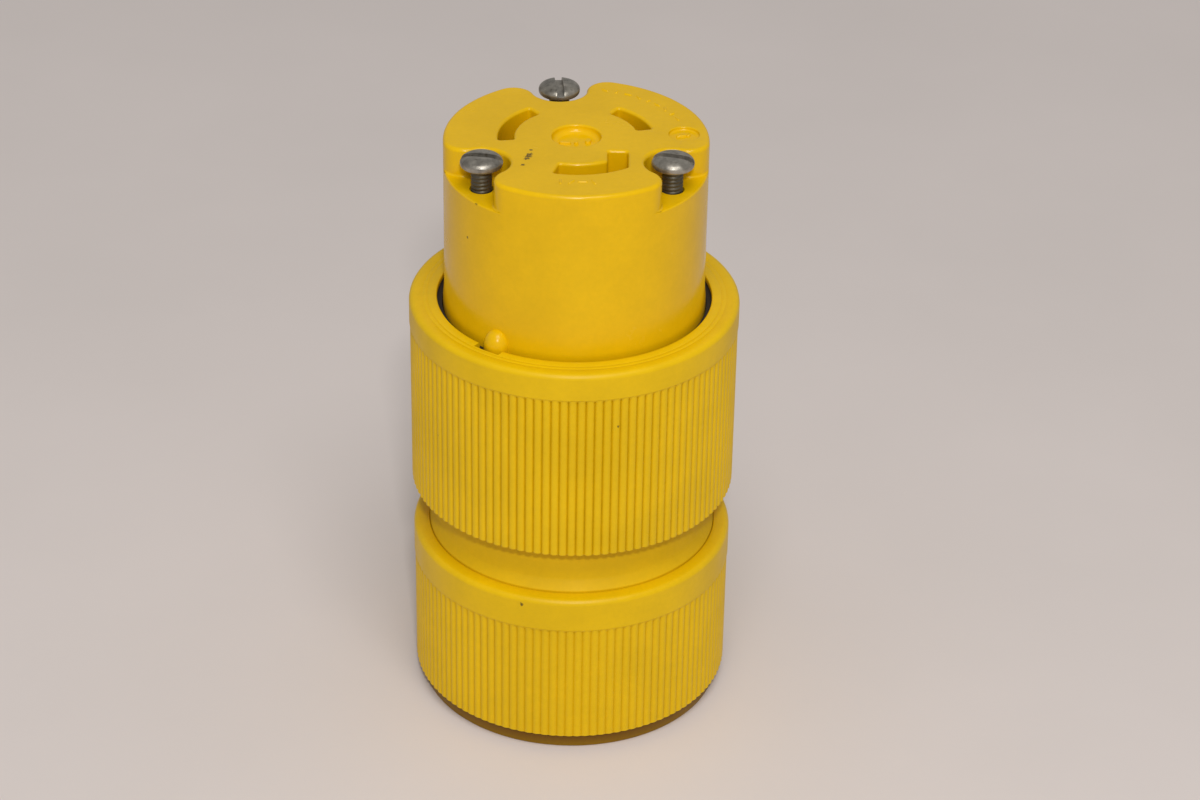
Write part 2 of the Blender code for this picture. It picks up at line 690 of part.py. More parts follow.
def main():
    make_front_body(material("front_body_plastic", YELLOW, 0.32))
    make_sleeve(material("sleeve_plastic", YELLOW, 0.38))
    make_housing(material("housing_plastic", YELLOW, 0.34))
    make_nut(material("nut_plastic", YELLOW, 0.38))
    make_sleeve_seal(material("seal_rubber", (0.02, 0.02, 0.018), 0.7))
    make_gasket(material("gasket_rubber", (0.025, 0.025, 0.025), 0.7))
    make_carrier(material("carrier_phenolic", (0.045, 0.03, 0.02), 0.5))
    terminal_colours = {
        "neutral": (0.66, 0.66, 0.64),
        "hot": (0.6, 0.42, 0.14),
        "ground": (0.05, 0.3, 0.1),
    }
    for blade, colour in terminal_colours.items():
        make_contact(blade, material(f"{blade}_brass", (0.62, 0.43, 0.15), 0.3, 1.0))
        screw_finish = material(f"{blade}_terminal_finish", colour, 0.35, 1.0)
        plate_finish = material(f"{blade}_clamp_finish", (0.5, 0.5, 0.48), 0.4, 1.0)
        make_terminal(blade, screw_finish, plate_finish)
    for side in SCREW_ANGLES:
        steel = material(f"{side}_screw_steel", (0.3, 0.31, 0.32), 0.38, 1.0)
        fibre = material(f"{side}_washer_fibre", (0.25, 0.06, 0.04), 0.7)
        make_assembly_screw(side, steel, fibre)
        make_insert(side, material(f"{side}_insert_brass", (0.62, 0.43, 0.15), 0.35, 1.0))
    plastic = material("thrust_ring_plastic", (0.6, 0.6, 0.57), 0.5)
    make_cord_grip(plastic, material("grommet_rubber", (0.03, 0.03, 0.03), 0.65))


main()
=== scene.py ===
"""The looks of a round locking connector body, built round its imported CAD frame.

Sizes are in metres and every piece is made in place, with the connector's axis on Z.
"""

import math
from typing import NamedTuple

import bpy
import numpy as np
from mathutils import Matrix, Vector
from mathutils.geometry import delaunay_2d_cdt


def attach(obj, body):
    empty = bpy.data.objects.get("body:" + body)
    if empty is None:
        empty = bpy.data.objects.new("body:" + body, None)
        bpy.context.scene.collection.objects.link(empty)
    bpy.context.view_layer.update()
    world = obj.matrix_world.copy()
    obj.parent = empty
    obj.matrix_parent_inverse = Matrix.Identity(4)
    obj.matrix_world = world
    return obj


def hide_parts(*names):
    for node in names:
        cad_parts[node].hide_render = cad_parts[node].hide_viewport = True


MM = 0.001

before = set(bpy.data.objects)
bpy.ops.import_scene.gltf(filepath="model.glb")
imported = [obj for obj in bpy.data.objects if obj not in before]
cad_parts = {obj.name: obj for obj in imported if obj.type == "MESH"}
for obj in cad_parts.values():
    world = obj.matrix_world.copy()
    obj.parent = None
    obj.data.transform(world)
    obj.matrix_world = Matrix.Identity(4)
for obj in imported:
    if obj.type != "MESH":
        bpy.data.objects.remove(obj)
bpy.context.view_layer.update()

# Front body. Angles are in degrees, counter-clockwise from +X.
FACE_R = 26.0 * MM
FACE_Z = 124.4 * MM
FACE_FILLET = 0.8 * MM
FACE_UNDERSIDE_Z = 114.3 * MM
FLANGE_R = 27.8 * MM
FLANGE_TOP_Z = 78.0 * MM
FLANGE_BOTTOM_Z = 74.0 * MM
FLANGE_EDGE = 0.3 * MM
FLANGE_FOOT = 0.4 * MM
CAVITY_R = 22.8 * MM
CHAMBER_R = 3.65 * MM
CHAMBER_Z = 107.0 * MM
SCREW_CIRCLE_R = 21.5 * MM
SCREW_ANGLES = {"rear": 99.5, "left": 212.5, "right": 330.0}
SCREW_SLOT_ANGLES = {"rear": 95.0, "left": -8.0, "right": -14.0}
NOTCH_R = 5.5 * MM
NOTCH_SHOULDER_R = 4.2 * MM
NOTCH_FLOOR_Z = 118.5 * MM
SHANK_HOLE_R = 2.35 * MM
POCKET_FOOT = 0.45 * MM
POCKET_EDGE = 0.3 * MM
SLOT_EDGE = 0.6 * MM
CENTRE_RECESS_R = 4.8 * MM
CENTRE_RECESS_DEPTH = 1.6 * MM
LOBE_RECESS_R = 3.0 * MM
LOBE_RECESS_DEPTH = 0.7 * MM
LOBE_RECESS_CENTRE = (21.0 * MM, 1.5 * MM)
KEY_ANGLE = 235.2
KEY_R = 2.72 * MM
KEY_TOP_Z = 92.9 * MM
KEY_BOTTOM_Z = 86.2 * MM
KEY_CROWN = 3.4 * MM
KEY_EDGE = 0.3 * MM
KEYWAY_ANGLE = 234.3
KEYWAY_HALF_ANGLE = 6.4
KEYWAY_R = 29.2 * MM
KEYWAY_BOTTOM_Z = 86.0 * MM

BLADES = ("neutral", "hot", "ground")

# Ribs on the sleeve and the nut.
RIBS = 120
POINTS_PER_RIB = 12

# Neck of the rear housing.
NECK_BORE_R = 22.8 * MM
NECK_TOP_Z = 71.95 * MM
NECK_STEPS = 288
BOSS_OUTER_R = 5.4 * MM
BOSS_INNER_R = 3.5 * MM
BOSS_FOOT_Z = 57.0 * MM
LOBE_R = 4.4 * MM
LOBE_FOOT_Z = 57.5 * MM

# Assembly screws, number 8 with 32 threads to the inch.
HEAD_R = 4.15 * MM
HEAD_TOP_Z = 125.7 * MM
HEAD_DOME_Z = 124.25 * MM
HEAD_UNDERSIDE_Z = 123.4 * MM
HEAD_ROUNDNESS = 0.55
DRIVER_SLOT_Z = 124.3 * MM
DRIVER_SLOT_HALF_WIDTH = 0.75 * MM
SHANK_R = 2.08 * MM
THREAD_PITCH = 25.4 * MM / 32
THREAD_DEPTH = 0.2 * MM
ROWS_PER_THREAD = 6
THREAD_END_Z = 66.6 * MM
TIP_R = 1.45 * MM
TIP_Z = 66.0 * MM

# A point on the axis keeps this radius, so that a lathe's faces stay faces.
AXIS_R = 0.00001

# Studio, in metres, watts and millimetres of focal length.
FLOOR_SIZE = 5.0
SKY_STRENGTH = 0.34
LIGHT_TARGET = (0.0, 0.0, 0.06)
CAMERA_PLACE = (0.0, -0.57263, 0.40671)
CAMERA_PITCH = 0.5386
CAMERA_YAW = 0.0096
CAMERA_ROLL = 0.0177
FOCAL_LENGTH = 98.08


# ---------------------------------------------------------------- outlines


def polar(radius, degrees):
    angle = math.radians(degrees)
    return (radius * math.cos(angle), radius * math.sin(angle))


def arc(centre, radius, start, end, count):
    """Points on an arc from start to end in degrees, both ends included."""
    points = []
    for i in range(count + 1):
        x, y = polar(radius, start + (end - start) * i / count)
        points.append((centre[0] + x, centre[1] + y))
    return points


def circle_about(centre, radius, count):
    """A closed circle, whose first point isn't repeated."""
    return arc(centre, radius, 0, 360, count)[:-1]


def quarter(count):
    """The steps of a rounded edge: how far in from the wall and how far below the face each lies.

    Both run from 0 to 1. The first step is in the face and the last one in the wall.
    """
    angles = [math.radians(90.0 * k / count) for k in range(count + 1)]
    return [(1 - math.sin(angle), 1 - math.cos(angle)) for angle in angles]


def turned_by(points, degrees):
    cosine = math.cos(math.radians(degrees))
    sine = math.sin(math.radians(degrees))
    return [(x * cosine - y * sine, x * sine + y * cosine) for x, y in points]


def resampled(corners, spacing):
    """A closed outline's points, evenly spaced along it."""
    line = np.array([*corners, corners[0]])
    steps = np.linalg.norm(np.diff(line, axis=0), axis=1)
    along = np.concatenate([[0.0], np.cumsum(steps)])
    count = max(12, round(along[-1] / spacing))
    at = np.linspace(0.0, along[-1], count, endpoint=False)
    return np.stack([np.interp(at, along, line[:, k]) for k in range(2)], axis=1)


def softened(corners):
    """A closed outline whose corners are rounded a little, as a moulded edge is."""
    points = resampled(corners, 0.25 * MM)
    for _ in range(4):
        points = (np.roll(points, 1, axis=0) + 2 * points + np.roll(points, -1, axis=0)) / 4
    return [tuple(point) for point in points]


def offset(outline, distance):
    """A counter-clockwise outline moved outwards by a distance."""
    points = np.array(outline)
    along = np.roll(points, -1, axis=0) - np.roll(points, 1, axis=0)
    along /= np.linalg.norm(along, axis=1)[:, None]
    outwards = np.stack([along[:, 1], -along[:, 0]], axis=1)
    return [tuple(point) for point in points + distance * outwards]


def rounded_profile(corners_mm, segments=5):
    """A closed profile of (radius, height), in metres, from corners with fillets, in mm."""
    corners = [(r * MM, z * MM, fillet * MM) for r, z, fillet in corners_mm]
    points = []
    for i, (r, z, fillet) in enumerate(corners):
        if fillet <= 0.0:
            points.append((r, z))
            continue
        here = Vector((r, z))
        before = Vector(corners[i - 1][:2]) - here
        after = Vector(corners[(i + 1) % len(corners)][:2]) - here
        before.normalize()
        after.normalize()
        half = before.angle(after) / 2
        reach = fillet / math.tan(half)
        middle = here + (before + after).normalized() * (fillet / math.sin(half))
        first = here + before * reach - middle
        last = here + after * reach - middle
        sweep = first.angle_signed(last)
        for k in range(segments + 1):
            spoke = first.copy()
            spoke.rotate(Matrix.Rotation(-sweep * k / segments, 2))
            points.append(tuple(middle + spoke))
    return points


def notch_part(side):
    """The rim's outline round one screw pocket, from shoulder to shoulder."""
    reach = FACE_R - NOTCH_SHOULDER_R
    span = NOTCH_R + NOTCH_SHOULDER_R
    cosine = (reach**2 + SCREW_CIRCLE_R**2 - span**2) / (2 * reach * SCREW_CIRCLE_R)
    half = math.degrees(math.acos(cosine))
    shoulder = polar(reach, half)
    facing = math.degrees(math.atan2(-shoulder[1], SCREW_CIRCLE_R - shoulder[0]))
    mirrored = (shoulder[0], -shoulder[1])
    part = arc(mirrored, NOTCH_SHOULDER_R, -half, -facing, 18)
    part += arc((SCREW_CIRCLE_R, 0.0), NOTCH_R, 180.0 - facing, 180.0 + facing, 40)[1:-1]
    part += arc(shoulder, NOTCH_SHOULDER_R, facing, half, 18)
    return turned_by(part, SCREW_ANGLES[side]), half


def slot_outlines():
    """The three blade slots, the ground one with its hook."""
    neutral = arc((0, 0), 15.3 * MM, 127.5, 188.0, 40)
    neutral += arc((0, 0), 12.2 * MM, 188.0, 127.5, 40)
    hot = arc((0, 0), 15.2 * MM, 14.0, 57.0, 30)
    hot += arc((0, 0), 12.2 * MM, 57.0, 14.0, 30)
    ground = arc((0, 0), 16.4 * MM, 254.5, 307.5, 40)
    ground += [(10.0 * MM, -6.4 * MM), (6.1 * MM, -6.4 * MM)]
    ground += arc((0, 0), 12.3 * MM, 299.7, 254.5, 36)
    return [softened(hot), softened(neutral), softened(ground)]


# ---------------------------------------------------------------- meshes


class Shell:
    """A surface of rings, walls between rings and flat caps, which share their points."""

    def __init__(self):
        self.points = []
        self.faces = []

    def ring(self, outline, height):
        """A closed ring, at one height or at a height for each point."""
        heights = height if isinstance(height, list) else [height] * len(outline)
        start = len(self.points)
        self.points += [(x, y, z) for (x, y), z in zip(outline, heights)]
        return list(range(start, len(self.points)))

    def wall(self, lower, upper):
        """A strip that faces outwards from two counter-clockwise rings."""
        count = len(lower)
        for i in range(count):
            j = (i + 1) % count
            if lower[i] == upper[i] and lower[j] == upper[j]:
                continue
            corners = dict.fromkeys((lower[i], lower[j], upper[j], upper[i]))
            self.faces.append(tuple(corners))

    def cap(self, outer, holes=(), up=True):
        """A flat face inside the outer ring and outside the holes."""
        rings = [outer, *holes]
        ids = [i for ring in rings for i in ring]
        spots = [Vector(self.points[i][:2]) for i in ids]
        edges = []
        start = 0
        for ring in rings:
            count = len(ring)
            edges += [(start + k, start + (k + 1) % count) for k in range(count)]
            start += count
        made = delaunay_2d_cdt(spots, edges, [], 0, 1e-9)
        height = self.points[outer[0]][2]
        origins = []
        for spot, sources in zip(made[0], made[3]):
            if sources:
                origins.append(ids[sources[0]])
                continue
            origins.append(len(self.points))
            self.points.append((spot.x, spot.y, height))
        fences = [np.array([self.points[i][:2] for i in ring]) for ring in rings]
        for face in made[2]:
            middle = np.mean([made[0][i] for i in face], axis=0)
            if not inside(middle, fences[0]) or any(inside(middle, f) for f in fences[1:]):
                continue
            corners = [origins[i] for i in face]
            a, b, c = (Vector(self.points[i]) for i in corners[:3])
            if ((b - a).cross(c - a).z > 0) != up:
                corners.reverse()
            self.faces.append(tuple(corners))


def inside(point, fence):
    """Whether a point is inside a closed outline."""
    x, y = point
    x1, y1 = fence[:, 0], fence[:, 1]
    x2, y2 = np.roll(x1, -1), np.roll(y1, -1)
    spans = (y1 > y) != (y2 > y)
    rise = np.where(y2 == y1, 1.0, y2 - y1)
    crosses = spans & (x < (x2 - x1) * (y - y1) / rise + x1)
    return bool(crosses.sum() % 2)


def linked(name, data):
    """A new object in the scene."""
    thing = bpy.data.objects.new(name, data)
    bpy.context.scene.collection.objects.link(thing)
    return thing


def piece(name, points, faces, finish, body, stands_for=None, crease=32.0):
    """An object of the model, smooth but for its creases, riding on a body.

    stands_for is the CAD node that the piece replaces.
    """
    mesh = bpy.data.meshes.new(name)
    mesh.from_pydata(points, [], faces)
    mesh.materials.append(finish)
    mesh.shade_smooth()
    mesh.set_sharp_from_angle(angle=math.radians(crease))
    mesh.validate()
    thing = linked(name, mesh)
    even = thing.modifiers.new("even_normals", "WEIGHTED_NORMAL")
    even.keep_sharp = True
    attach(thing, body)
    if stands_for:
        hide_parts(stands_for)


def lathe(profile, steps, depths=None, groove=None, closed=True, keyway=None):
    """Points and faces of a profile turned about Z, whose outer side runs down.

    depths holds, for each profile point, how deep the grooves are there, and groove their share
    of that depth at each step. keyway is the angle, the half width in degrees and the radius of a
    notch in the bore, cut above KEYWAY_BOTTOM_Z.
    """
    profile = np.array(profile)
    turn = np.arange(steps) * math.tau / steps
    radii = np.repeat(profile[:, 0][:, None], steps, axis=1)
    if keyway:
        angle, half, reach = keyway
        off = (np.degrees(turn) - angle + 180.0) % 360.0 - 180.0
        corner_width = 0.6
        corner = np.clip((half - np.abs(off)) / corner_width, 0.0, 1.0) ** 0.5
        notch = np.where(np.abs(off) < half, reach * corner, 0.0)
        cut = np.maximum(radii, notch[None, :])
        radii = np.where(profile[:, 1][:, None] > KEYWAY_BOTTOM_Z, cut, radii)
    if depths is not None:
        radii = radii - np.array(depths)[:, None] * groove[None, :]
    x = radii * np.cos(turn)[None, :]
    y = radii * np.sin(turn)[None, :]
    z = np.repeat(profile[:, 1][:, None], steps, axis=1)
    points = np.stack([x, y, z], axis=2).reshape(-1, 3)
    rows = len(profile)
    last = rows if closed else rows - 1
    row = np.repeat(np.arange(last), steps)
    column = np.tile(np.arange(steps), last)
    after = (column + 1) % steps
    below = (row + 1) % rows
    faces = np.stack(
        [below * steps + column, below * steps + after, row * steps + after, row * steps + column],
        axis=1,
    )
    return points.tolist(), faces.tolist()


def rib_groove(power):
    """How deep the groove is at each step round the ribs: 0 on a crest and 1 between two ribs."""
    steps = RIBS * POINTS_PER_RIB
    place = np.arange(steps) / POINTS_PER_RIB
    from_crest = np.abs(place - np.round(place)) * 2
    return from_crest**power


# ---------------------------------------------------------------- materials


class Finish:
    """A material's node tree, with short calls for the nodes that the finishes share."""

    def __init__(self, name, **settings):
        self.material = bpy.data.materials.new(name)
        self.material.use_nodes = True
        self.tree = self.material.node_tree
        self.shader = self.tree.nodes["Principled BSDF"]
        self.place = self.node("ShaderNodeTexCoord").outputs["Object"]
        for socket, value in settings.items():
            self.shader.inputs[socket.replace("_", " ")].default_value = value

    def node(self, kind, **inputs):
        made = self.tree.nodes.new(kind)
        for name, value in inputs.items():
            self.put(made, name, value)
        return made

    def put(self, made, name, value):
        """Sets a setting or an input, or links the input to another node's output."""
        if hasattr(made, name):
            setattr(made, name, value)
            return
        key = int(name[1:]) if name[0] == "i" and name[1:].isdigit() else name.replace("_", " ")
        socket = made.inputs[key]
        if isinstance(value, bpy.types.NodeSocket):
            self.tree.links.new(value, socket)
        else:
            socket.default_value = value

    def noise(self, scale, detail=2.0, roughness=0.5, stretch=None):
        """A cloudy pattern from 0 to 1. The scale is in repeats for each metre."""
        vector = self.place
        if stretch:
            vector = self.node("ShaderNodeMapping", Vector=self.place, Scale=stretch).outputs[0]
        made = self.node("ShaderNodeTexNoise", Vector=vector)
        made.inputs["Scale"].default_value = scale
        made.inputs["Detail"].default_value = detail
        made.inputs["Roughness"].default_value = roughness
        return made.outputs["Fac"]

    def span(self, value, low, high, to_low=0.0, to_high=1.0, smooth=False):
        """A value mapped from one range to another, and held at its ends."""
        made = self.node("ShaderNodeMapRange", Value=value)
        if smooth:
            made.interpolation_type = "SMOOTHSTEP"
        ends = {"From Min": low, "From Max": high, "To Min": to_low, "To Max": to_high}
        for key, number in ends.items():
            made.inputs[key].default_value = number
        return made.outputs[0]

    def math(self, operation, first, second):
        return self.node("ShaderNodeMath", operation=operation, i0=first, i1=second).outputs[0]

    def mix(self, share, first, second):
        """Two colours, mixed."""
        made = self.tree.nodes.new("ShaderNodeMix")
        made.data_type = "RGBA"
        for key, value in ((0, share), (6, first), (7, second)):
            self.put(made, f"i{key}", value)
        return made.outputs[2]

    def radius(self):
        """The distance from the connector's axis."""
        apart = self.node("ShaderNodeSeparateXYZ", i0=self.place)
        flat = self.node("ShaderNodeCombineXYZ", X=apart.outputs[0], Y=apart.outputs[1])
        length = self.node("ShaderNodeVectorMath", operation="LENGTH", i0=flat.outputs[0])
        return length.outputs["Value"]

    def height(self):
        return self.node("ShaderNodeSeparateXYZ", i0=self.place).outputs[2]

    def specks(self, scale, size, share):
        """Small round spots, 1 at their middle, in a share of the pattern's cells."""
        cells = self.node("ShaderNodeTexVoronoi", Vector=self.place)
        cells.inputs["Scale"].default_value = scale
        near = self.span(cells.outputs["Distance"], size * 0.5, size, 1.0, 0.0)
        lot = self.node("ShaderNodeSeparateColor", i0=cells.outputs["Color"]).outputs[0]
        chosen = self.math("LESS_THAN", lot, share)
        return self.math("MULTIPLY", near, chosen)

    def spot(self, centre, size):
        """One worn spot about a point, with a ragged edge."""
        away = self.node("ShaderNodeVectorMath", operation="DISTANCE", i0=self.place, i1=centre)
        edge = self.span(self.noise(2500.0), 0.3, 0.7, -0.5 * size, 0.5 * size)
        reach = self.math("ADD", away.outputs["Value"], edge)
        return self.span(reach, size * 0.5, size, 1.0, 0.0)

    def bump(self, height, strength, distance, onto=None):
        """A normal from a height, laid over another normal if there is one."""
        made = self.node("ShaderNodeBump", Height=height)
        made.inputs["Strength"].default_value = strength
        made.inputs["Distance"].default_value = distance
        if onto is not None:
            self.put(made, "Normal", onto)
        return made.outputs[0]

    def use(self, **sockets):
        """Links outputs to the shader's own sockets."""
        for name, value in sockets.items():
            self.tree.links.new(value, self.shader.inputs[name.replace("_", " ")])
        return self.material


def tinted(colour, share):
    """A colour with its alpha, made lighter or darker."""
    return (*(min(1.0, part * share) for part in colour), 1.0)


YELLOW = (0.80, 0.475, 0.001)
RIBBED_YELLOW = (0.79, 0.495, 0.001)
STEEL = (0.35, 0.32, 0.27)
GRIME = (0.06, 0.035, 0.012, 1.0)
# Painted shade with some dirt, for the ribs' grooves.
RIB_GROOVE_SHADE_AND_DIRT = (0.31, 0.19, 0.004, 1.0)
# Painted shade for the nut's foot, under its ledge.
FOOT_PAINTED_SHADE = (0.11, 0.03, 0.001, 1.0)
STEEL_STAIN = (0.10, 0.07, 0.045, 1.0)
# The darker colour of a screw's shank below its head.
DARKER_SHANK_STEEL = (0.085, 0.075, 0.05, 1.0)
RUBBER_DUST = (0.14, 0.11, 0.07, 1.0)


def yellow_plastic(
    name, tone=YELLOW, groove=None, marks=(), roughness=(0.16, 0.28), foot=False, specked=0.0
):
    """Glossy moulded vinyl: cloudy colour, fine grain, faint scratches, specks and worn spots.

    groove says where the ribs' grooves get painted shade with some dirt: the radius at the
    grooves' bottom, the radius where it ends, the height of the ribs' top, and how dark it gets.
    marks holds each worn spot's centre and size. foot paints shade on what is under the nut's
    ledge, darkest just below it. specked is the share of the pattern's cells that have a speck.
    """
    finish = Finish(name, IOR=1.5, Specular_IOR_Level=0.22)
    cloud = finish.noise(70.0, 4.0, 0.6)
    fine = finish.noise(900.0, 3.0, 0.6)
    colour = finish.mix(finish.span(cloud, 0.35, 0.65), tinted(tone, 0.95), tinted(tone, 1.04))
    colour = finish.mix(finish.span(fine, 0.3, 0.7, 0.0, 0.16), colour, tinted(tone, 0.72))
    if groove:
        # Painted shade with some dirt: the ribs' grooves are darker towards their bottom.
        low, high, top, amount = groove
        radius = finish.radius()
        groove_shade_and_dirt = finish.span(radius, low, high, amount, 0.0, smooth=True)
        outside = finish.math("GREATER_THAN", radius, low - 0.4 * MM)
        below = finish.math("LESS_THAN", finish.height(), top)
        groove_shade_and_dirt = finish.math("MULTIPLY", groove_shade_and_dirt, finish.math("MULTIPLY", outside, below))
        patchy = finish.span(finish.noise(160.0), 0.25, 0.7, 0.5, 1.0)
        colour = finish.mix(finish.math("MULTIPLY", groove_shade_and_dirt, patchy), colour, RIB_GROOVE_SHADE_AND_DIRT)
    # Painted shade under the nut's ledge, darkest just below it.
    if foot:
        darkening = finish.span(finish.height(), 0.2 * MM, 3.2 * MM, 0.76, 0.94)
        under = finish.math("LESS_THAN", finish.height(), 3.48 * MM)
        colour = finish.mix(finish.math("MULTIPLY", darkening, under), colour, FOOT_PAINTED_SHADE)
    if specked:
        colour = finish.mix(finish.specks(260.0, 0.10, specked), colour, GRIME)
    for centre, size in marks:
        spot = finish.math("MULTIPLY", finish.spot(centre, size), 0.85)
        colour = finish.mix(spot, colour, GRIME)
    rough = finish.span(finish.noise(120.0, 5.0, 0.65), 0.3, 0.7, *roughness)
    scratch = finish.noise(900.0, 3.0, 0.55, stretch=(1.0, 1.0, 0.06))
    grain = finish.bump(finish.noise(2600.0, 3.0), 0.22, 0.05 * MM)
    normal = finish.bump(scratch, 0.10, 0.06 * MM, onto=grain)
    return finish.use(Base_Color=colour, Roughness=rough, Normal=normal)


def black_rubber(name):
    """Matt rubber with a little pale dust."""
    finish = Finish(name, IOR=1.5, Specular_IOR_Level=0.3)
    cloud = finish.noise(250.0, 4.0, 0.6)
    colour = finish.mix(cloud, (0.016, 0.012, 0.008, 1.0), (0.036, 0.028, 0.018, 1.0))
    dust = finish.span(finish.noise(900.0, 4.0, 0.7), 0.60, 0.78, 0.0, 0.25)
    colour = finish.mix(dust, colour, RUBBER_DUST)
    rough = finish.span(cloud, 0.3, 0.7, 0.5, 0.75)
    normal = finish.bump(finish.noise(3000.0, 3.0), 0.35, 0.06 * MM)
    return finish.use(Base_Color=colour, Roughness=rough, Normal=normal)


def aged_steel(name):
    """Dulled plated steel with soft stains and pits, and a darker, rougher shank below the head."""
    finish = Finish(name, Metallic=0.75)
    cloud = finish.noise(420.0, 5.0, 0.65)
    colour = finish.mix(finish.span(cloud, 0.35, 0.65), tinted(STEEL, 0.62), tinted(STEEL, 1.25))
    stain = finish.span(finish.noise(700.0, 4.0, 0.7), 0.56, 0.72, 0.0, 0.7)
    colour = finish.mix(stain, colour, STEEL_STAIN)
    # The shank below the head is darker and rougher.
    edge = HEAD_UNDERSIDE_Z
    darkening = finish.span(finish.height(), edge - 0.1 * MM, edge + 0.1 * MM, 0.85, 0.0)
    colour = finish.mix(darkening, colour, DARKER_SHANK_STEEL)
    rough = finish.span(cloud, 0.3, 0.7, 0.26, 0.46)
    rough = finish.math("ADD", rough, finish.math("MULTIPLY", darkening, 0.2))
    pits = finish.bump(finish.noise(2600.0, 4.0, 0.7), 0.30, 0.05 * MM)
    return finish.use(Base_Color=colour, Roughness=rough, Normal=pits)


def metal(name, tone, tarnish):
    """Bare or plated metal, clouded with its tarnish and faintly brushed."""
    finish = Finish(name, Metallic=1.0)
    cloud = finish.noise(380.0, 4.0, 0.6)
    colour = finish.mix(finish.span(cloud, 0.4, 0.7), (*tone, 1.0), (*tarnish, 1.0))
    rough = finish.span(cloud, 0.3, 0.7, 0.22, 0.45)
    brushed = finish.noise(1500.0, 3.0, 0.6, stretch=(1.0, 1.0, 0.1))
    normal = finish.bump(brushed, 0.18, 0.04 * MM)
    return finish.use(Base_Color=colour, Roughness=rough, Normal=normal)


def dull_solid(name, tone, second, roughness, grain):
    """A moulded or pressed board, flecked with its second colour."""
    finish = Finish(name, IOR=1.5)
    fleck = finish.span(finish.noise(800.0, 4.0, 0.7), 0.4, 0.65)
    colour = finish.mix(fleck, (*tone, 1.0), (*second, 1.0))
    rough = finish.span(finish.noise(300.0), 0.3, 0.7, *roughness)
    normal = finish.bump(finish.noise(2400.0, 3.0), grain, 0.06 * MM)
    return finish.use(Base_Color=colour, Roughness=rough, Normal=normal)


# ---------------------------------------------------------------- front body


def body_outline():
    """The face's outline with its three screw pockets, and each point's pocket, or -1."""
    sides = sorted(SCREW_ANGLES, key=SCREW_ANGLES.get)
    outline = []
    pocket = []
    for k, side in enumerate(sides):
        part, half = notch_part(side)
        outline += part
        pocket += [k] * len(part)
        start = SCREW_ANGLES[side] + half
        end = SCREW_ANGLES[sides[(k + 1) % 3]] - half + (360.0 if k == 2 else 0.0)
        rim = arc((0, 0), FACE_R, start, end, round((end - start) / 0.9))[1:-1]
        outline += rim
        pocket += [-1] * len(rim)
    return outline, pocket


def lobed_circle(radius, lobe, count):
    """A circle about the axis, widened where a hole about each screw breaks through it."""
    points = []
    for i in range(count):
        degrees = 360.0 * i / count
        reach = radius
        for angle in SCREW_ANGLES.values():
            off = math.radians(degrees - angle)
            inner = lobe**2 - (SCREW_CIRCLE_R * math.sin(off)) ** 2
            if inner > 0 and math.cos(off) > 0:
                reach = max(reach, SCREW_CIRCLE_R * math.cos(off) + math.sqrt(inner))
        points.append(polar(reach, degrees))
    return points


def sunk_ring(shell, outline, top, depth, edge, foot):
    """A pocket in the face with a soft edge and a soft foot. Returns its ring in the face."""
    rings = [
        shell.ring(offset(outline, edge * inwards), top - edge * down)
        for inwards, down in quarter(4)
    ]
    rings += [
        shell.ring(offset(outline, -foot * down), top - depth + foot * inwards)
        for inwards, down in quarter(4)
    ]
    for upper, lower in zip(rings, rings[1:]):
        shell.wall(upper, lower)
    shell.cap(rings[-1])
    return rings[0]


def rim_circle(outline, pocket):
    """The outline's points brought out to the full circle, those of a pocket evenly spread."""
    circle = [polar(FACE_R, math.degrees(math.atan2(y, x))) for x, y in outline]
    for k in range(len(SCREW_ANGLES)):
        members = [i for i in range(len(outline)) if pocket[i] == k]
        start = math.atan2(*reversed(outline[members[0]]))
        end = math.atan2(*reversed(outline[members[-1]]))
        if end < start:
            end += math.tau
        for n, i in enumerate(members):
            angle = start + (end - start) * n / (len(members) - 1)
            circle[i] = (FACE_R * math.cos(angle), FACE_R * math.sin(angle))
    return circle


def add_pocket_floors(shell, pocket, floor_line, rim_line):
    """Each pocket's floor, with the screw's hole."""
    for k, side in enumerate(sorted(SCREW_ANGLES, key=SCREW_ANGLES.get)):
        members = [i for i in range(len(pocket)) if pocket[i] == k]
        inner = [floor_line[i] for i in members]
        outer = [rim_line[i] for i in members[1:-1]]
        hole = circle_about(polar(SCREW_CIRCLE_R, SCREW_ANGLES[side]), SHANK_HOLE_R, 48)
        upper = shell.ring(hole, NOTCH_FLOOR_Z)
        lower = shell.ring(hole, FACE_UNDERSIDE_Z)
        shell.wall(upper, lower)
        shell.cap(outer + inner[::-1], [upper])


